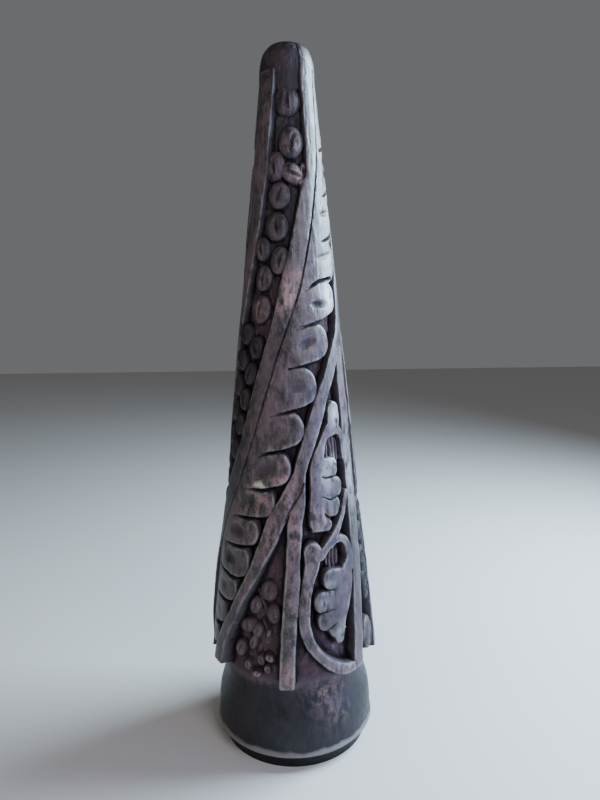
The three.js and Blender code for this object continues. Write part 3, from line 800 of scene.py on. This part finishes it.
def paintMasks():
    # Stores at each point how steep it is, how far it stands proud of its surroundings, how hollow it is,
    # how deep it lies in the carving, the scoops, the darker pieces, the foot's rim (1) and undercut (2),
    # how rubbed it is, where the painted highlights go, and where the pale fleck is. The walls, hollows,
    # scoops, undercut and most darker pieces mark where painted shade goes.
    proud = surface - blurred(surface, reading["edgeBlur"])
    wide, narrow = (blurred(surface, reach) - surface for reach in reading["hollowBlurs"])
    wideDepth, narrowDepth = reading["hollowDepths"]
    upward = np.gradient(surface, rowZ, axis=0)
    across = np.gradient(surface, columnAngle, axis=1) / perDegree
    aboveNeck = np.clip((heights - 50) / 12, 0, 1)
    rubbed, paintedHighlight, shaded = (patches(wearAndPaintedLight[name]) for name in ("rubbed", "paintedHighlight", "shaded"))
    angle, z, halfWidth, halfHeight = wearAndPaintedLight["patch"]
    fleck = np.maximum(np.abs((angles - angle) * perDegree) / halfWidth, np.abs(heights - z) / halfHeight)
    foot = 1 - smoothStep(*reading["footDark"], heights)
    crown = smoothStep(*reading["crownDark"], heights) * (1 - smoothStep(*reading["crownDarkEnd"], angles))
    cap = smoothStep(*reading["capDark"], heights)
    rimStart, rimFull, rimFade, rimEnd = reading["rim"]
    rim = smoothStep(rimStart, rimFull, heights) * (1 - smoothStep(rimFade, rimEnd, heights + wobble * 3))
    masks = {
        "wall": smoothStep(*reading["steep"], np.hypot(upward, across)),
        "proud": np.clip(proud / reading["edgeHeight"], 0, 1),
        "hollow": np.clip(np.maximum(wide / wideDepth, narrow / narrowDepth), 0, 1),
        "depth": np.clip((outer - surface) / groundDepth(heights), 0, 1) * aboveNeck,
        "pit": paint["pit"],
        # Painted shade on the shaded pieces, with the darker foot, crown and cap
        "dark": np.maximum.reduce([paint["dark"], shaded, foot, reading["crownShade"] * crown, cap]),
        "rim": rim + 2 * (heights < rimStart),
        "rubbed": rubbed,
        "paintedHighlight": paintedHighlight,
        "fleck": np.clip((1.1 - fleck + 0.3 * wobble) * 4, 0, 1),
    }
    spots = np.empty(len(treeMesh.vertices) * 3, np.float32)
    treeMesh.vertices.foreach_get("co", spots)
    x, y, z = spots.reshape(-1, 3).T / mm
    turn = np.degrees(np.arctan2(x, -y)) / 360 + 0.5
    column = np.round(turn * grid["columns"]).astype(int) % grid["columns"]
    row = np.clip(np.round(np.interp(z, rowZ, np.arange(len(rowZ)))).astype(int), 0, len(rowZ) - 1)
    for name, mask in masks.items():
        layer = treeMesh.attributes.new(name, "FLOAT", "POINT")
        layer.data.foreach_set("value", mask[row, column].astype(np.float32))


paintMasks()
print("masks painted")

wood = {
    # Colours
    "dark": (0.017, 0.014, 0.015),
    "warm": (0.098, 0.058, 0.067),
    "streak": (0.15, 0.14, 0.145),
    "edge": (0.22, 0.20, 0.20),
    "ground": (0.056, 0.032, 0.041),
    "groundAbove": (0.034, 0.028, 0.032),
    "groundDust": (0.10, 0.066, 0.082),
    "dust": (0.26, 0.21, 0.21),
    "rubbed": (0.35, 0.21, 0.20),
    # colour of the painted highlights
    "paintedHighlight": (0.62, 0.64, 0.64),
    "fleck": (0.50, 0.45, 0.36),
    # painted shade in the hollows and painted shadow in the foot's undercut
    "black": (0.006, 0.005, 0.006),
    # painted shade in the scoops and on the shaded pieces, also laid over the darker foot, crown and cap
    "bluishDark": (0.007, 0.008, 0.011),
    "rim": (0.19, 0.17, 0.16),
    # Each noise on Object coordinates: scale, stretch along the trunk, detail, roughness
    "grain": (520, 0.05, 6, 0.6),
    "clouds": (42, 0.6, 3, 0.55),
    "mottle": (260, 0.55, 5, 0.55),
    "specks": (900, 0.8, 3, 0.55),
    # How strongly each layer covers the ones before it
    "strength": {"streak": 0.75, "speckle": 0.45, "edge": 0.7, "dark": 0.85, "pit": 0.62, "wall": 0.85,
                 "hollow": 0.75, "rim": 0.8},
    "groundFade": (0.27, 0.34),  # metres up, where the ground turns to its upper colour
    "roughness": (0.34, 0.56),
    "groundRoughness": 0.3,  # added in the ground
    "sheen": 0.55,  # specular level of a clean face
    "duller": {"depth": 0.4, "dark": 0.3, "wall": 0.25},  # taken from the sheen in these places
    "bump": {"strength": 0.6, "distance": 0.0004, "mottle": 0.8, "specks": 0.4},
}


def addNode(graph, kind, **values):
    node = graph.nodes.new(kind)
    for key, value in values.items():
        if hasattr(node, key):
            setattr(node, key, value)
        else:
            feed(graph, value, node.inputs[key])
    return node


def feed(graph, value, socket):
    # Links a socket's value, or sets a plain number or colour.
    if hasattr(value, "links"):
        graph.links.new(value, socket)
    elif isinstance(value, tuple) and socket.type == "RGBA":
        socket.default_value = (*value, 1)
    else:
        socket.default_value = value


def blend(graph, factor, under, over):
    # Covers one colour with another. Each of them is a socket or a plain colour.
    node = addNode(graph, "ShaderNodeMix", data_type="RGBA")
    for k, value in ((0, factor), (6, under), (7, over)):
        feed(graph, value, node.inputs[k])
    return node.outputs[2]


def calc(graph, how, *values, clamp=False):
    node = addNode(graph, "ShaderNodeMath", operation=how, use_clamp=clamp)
    for k, value in enumerate(values):
        feed(graph, value, node.inputs[k])
    return node.outputs[0]


def ramp(graph, value, start, end):
    # Runs from 0 at the start to 1 at the end, smoothly.
    node = addNode(graph, "ShaderNodeMapRange", interpolation_type="SMOOTHSTEP")
    for key, number in (("Value", value), ("From Min", start), ("From Max", end)):
        feed(graph, number, node.inputs[key])
    return node.outputs[0]


def woodNoise(graph, where, name):
    # Noise on Object coordinates, stretched along the trunk.
    scale, stretch, detail, roughness = wood[name]
    mapping = addNode(graph, "ShaderNodeMapping", Vector=where, Scale=(1, 1, stretch))
    cloud = addNode(graph, "ShaderNodeTexNoise", Vector=mapping.outputs[0], Scale=scale, Detail=detail,
                    Roughness=roughness)
    return cloud.outputs[0]


def faceColor(graph, mask, noise):
    # Dark and warm clouds, paler streaks along the grain, specks, worn edges, the darker pieces (mostly
    # painted shade), then the rubbed patches and the painted highlights.
    def times(*values, clamp=False):
        return calc(graph, "MULTIPLY", *values, clamp=clamp)

    strength, mottle, specks = wood["strength"], noise["mottle"], noise["specks"]
    cloudy = calc(graph, "ADD", times(noise["clouds"], 0.45), times(mottle, 0.55))
    color = blend(graph, ramp(graph, cloudy, 0.39, 0.60), wood["dark"], wood["warm"])
    streaks = times(ramp(graph, noise["grain"], 0.50, 0.72), ramp(graph, mottle, 0.35, 0.7))
    color = blend(graph, times(streaks, strength["streak"]), color, wood["streak"])
    speckle = times(ramp(graph, specks, 0.52, 0.72), strength["speckle"])
    color = blend(graph, speckle, color, wood["streak"])
    worn = times(ramp(graph, mask["proud"], 0.12, 0.9), ramp(graph, mottle, 0.3, 0.62), clamp=True)
    color = blend(graph, times(worn, strength["edge"]), color, wood["edge"])
    color = blend(graph, times(mask["dark"], strength["dark"]), color, wood["bluishDark"])
    rubbing = times(mask["rubbed"], ramp(graph, mottle, 0.38, 0.62))
    rubbing = times(rubbing, calc(graph, "ADD", ramp(graph, specks, 0.3, 0.6), 0.4), clamp=True)
    color = blend(graph, rubbing, color, wood["rubbed"])
    shine = times(mask["paintedHighlight"], ramp(graph, mottle, 0.30, 0.52), clamp=True)
    return blend(graph, shine, color, wood["paintedHighlight"])


def groundColor(graph, where, noise):
    # The ground between the strands is darker, with a little dust low down and specks of it all over.
    height = addNode(graph, "ShaderNodeSeparateXYZ", Vector=where).outputs[2]
    above = ramp(graph, height, *wood["groundFade"])
    color = blend(graph, above, wood["ground"], wood["groundAbove"])
    mottle, specks = noise["mottle"], noise["specks"]
    amount = calc(graph, "SUBTRACT", 0.8, calc(graph, "MULTIPLY", above, 0.5))
    dusty = calc(graph, "MULTIPLY", ramp(graph, mottle, 0.42, 0.75), amount)
    color = blend(graph, dusty, color, wood["groundDust"])
    dots = calc(graph, "MULTIPLY", ramp(graph, specks, 0.62, 0.74), ramp(graph, mottle, 0.45, 0.6))
    return blend(graph, dots, color, wood["dust"])


def makeWood():
    material = bpy.data.materials.new("darkWood")
    material.use_nodes = True
    graph = material.node_tree
    shader = graph.nodes["Principled BSDF"]
    where = addNode(graph, "ShaderNodeTexCoord").outputs["Object"]
    names = ("wall", "proud", "hollow", "depth", "pit", "dark", "rim", "rubbed", "paintedHighlight", "fleck")
    masks = [addNode(graph, "ShaderNodeAttribute", attribute_name=name) for name in names]
    mask = {name: node.outputs["Fac"] for name, node in zip(names, masks)}
    noise = {name: woodNoise(graph, where, name) for name in ("grain", "clouds", "mottle", "specks")}
    color = faceColor(graph, mask, noise)
    color = blend(graph, ramp(graph, mask["depth"], 0.3, 0.75), color, groundColor(graph, where, noise))
    # Painted shade in the scoops, on the walls and in the hollows, and painted shadow in the undercut
    # Scoops, walls, hollows, the fleck and the foot's rim and undercut, each over the last
    rim, undercut = ramp(graph, mask["rim"], 0.2, 1), ramp(graph, mask["rim"], 1.1, 1.6)
    hollow = ramp(graph, mask["hollow"], 0.25, 0.95)
    cover = {"pit": (mask["pit"], "bluishDark"), "wall": (mask["wall"], "groundAbove"),
             "hollow": (hollow, "black"), "fleck": (mask["fleck"], "fleck"), "rim": (rim, "rim"),
             "undercut": (undercut, "black")}
    for name, (amount, over) in cover.items():
        amount = calc(graph, "MULTIPLY", amount, wood["strength"].get(name, 1.0))
        color = blend(graph, amount, color, wood[over])
    feed(graph, color, shader.inputs["Base Color"])
    rough = addNode(graph, "ShaderNodeMapRange", Value=noise["mottle"])
    lowest, highest = wood["roughness"]
    for key, number in (("From Min", 0.3), ("From Max", 0.7), ("To Min", lowest), ("To Max", highest)):
        rough.inputs[key].default_value = number
    added = calc(graph, "MULTIPLY", mask["depth"], wood["groundRoughness"])
    feed(graph, calc(graph, "ADD", rough.outputs[0], added, clamp=True), shader.inputs["Roughness"])
    sheen = wood["sheen"]
    for name, amount in wood["duller"].items():
        lost = calc(graph, "MULTIPLY", mask[name], amount)
        sheen = calc(graph, "SUBTRACT", sheen, lost, clamp=True)
    feed(graph, sheen, shader.inputs["Specular IOR Level"])
    bump = wood["bump"]
    height = calc(graph, "ADD", noise["grain"], calc(graph, "MULTIPLY", noise["mottle"], bump["mottle"]))
    height = calc(graph, "ADD", height, calc(graph, "MULTIPLY", noise["specks"], bump["specks"]))
    bumps = addNode(graph, "ShaderNodeBump", Strength=bump["strength"], Distance=bump["distance"],
                    Height=height)
    feed(graph, bumps.outputs[0], shader.inputs["Normal"])
    return material


carvedTree.data.materials.append(makeWood())
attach(carvedTree, "root")
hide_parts("carved_tree")
print("wood made")

studio = {
    "floorSize": 6.0,
    "floor": (0.62, 0.59, 0.56),
    "sky": (0.62, 0.63, 0.66),
    "skyStrength": 0.24,
    # Each light: place, size, watts, colour
    "lights": [((0.58, 0.16, 0.60), 0.45, 26, (0.60, 0.82, 1.0)),
               ((0.42, -0.80, 0.62), 0.45, 5.0, (0.88, 0.90, 1.0)),
               ((0.62, -0.30, 0.10), 0.40, 4.4, (0.30, 0.43, 1.0)),
               ((-0.70, -0.60, 0.40), 0.60, 1.6, (1.0, 0.88, 0.82))],
    "aim": (0, 0, 0.22),
}


def makeStudio():
    half = studio["floorSize"] / 2
    mesh = bpy.data.meshes.new("floor")
    corners = [(-half, -half, 0), (half, -half, 0), (half, half, 0), (-half, half, 0)]
    mesh.from_pydata(corners, [], [(0, 1, 2, 3)])
    floor = bpy.data.objects.new("floor", mesh)
    bpy.context.collection.objects.link(floor)
    material = bpy.data.materials.new("paleFloor")
    material.use_nodes = True
    shader = material.node_tree.nodes["Principled BSDF"]
    shader.inputs["Base Color"].default_value = (*studio["floor"], 1)
    shader.inputs["Roughness"].default_value = 0.75
    mesh.materials.append(material)
    world = bpy.data.worlds.new("sky")
    world.use_nodes = True
    world.node_tree.nodes["Background"].inputs["Color"].default_value = (*studio["sky"], 1)
    world.node_tree.nodes["Background"].inputs["Strength"].default_value = studio["skyStrength"]
    bpy.context.scene.world = world
    for k, (place, size, watts, color) in enumerate(studio["lights"]):
        data = bpy.data.lights.new(f"lamp{k}", "AREA")
        data.size, data.energy, data.color = size, watts, color
        lamp = bpy.data.objects.new(f"lamp{k}", data)
        lamp.location = place
        lamp.rotation_euler = (Vector(studio["aim"]) - Vector(place)).to_track_quat("-Z", "Y").to_euler()
        bpy.context.collection.objects.link(lamp)


makeStudio()
print("studio lit")
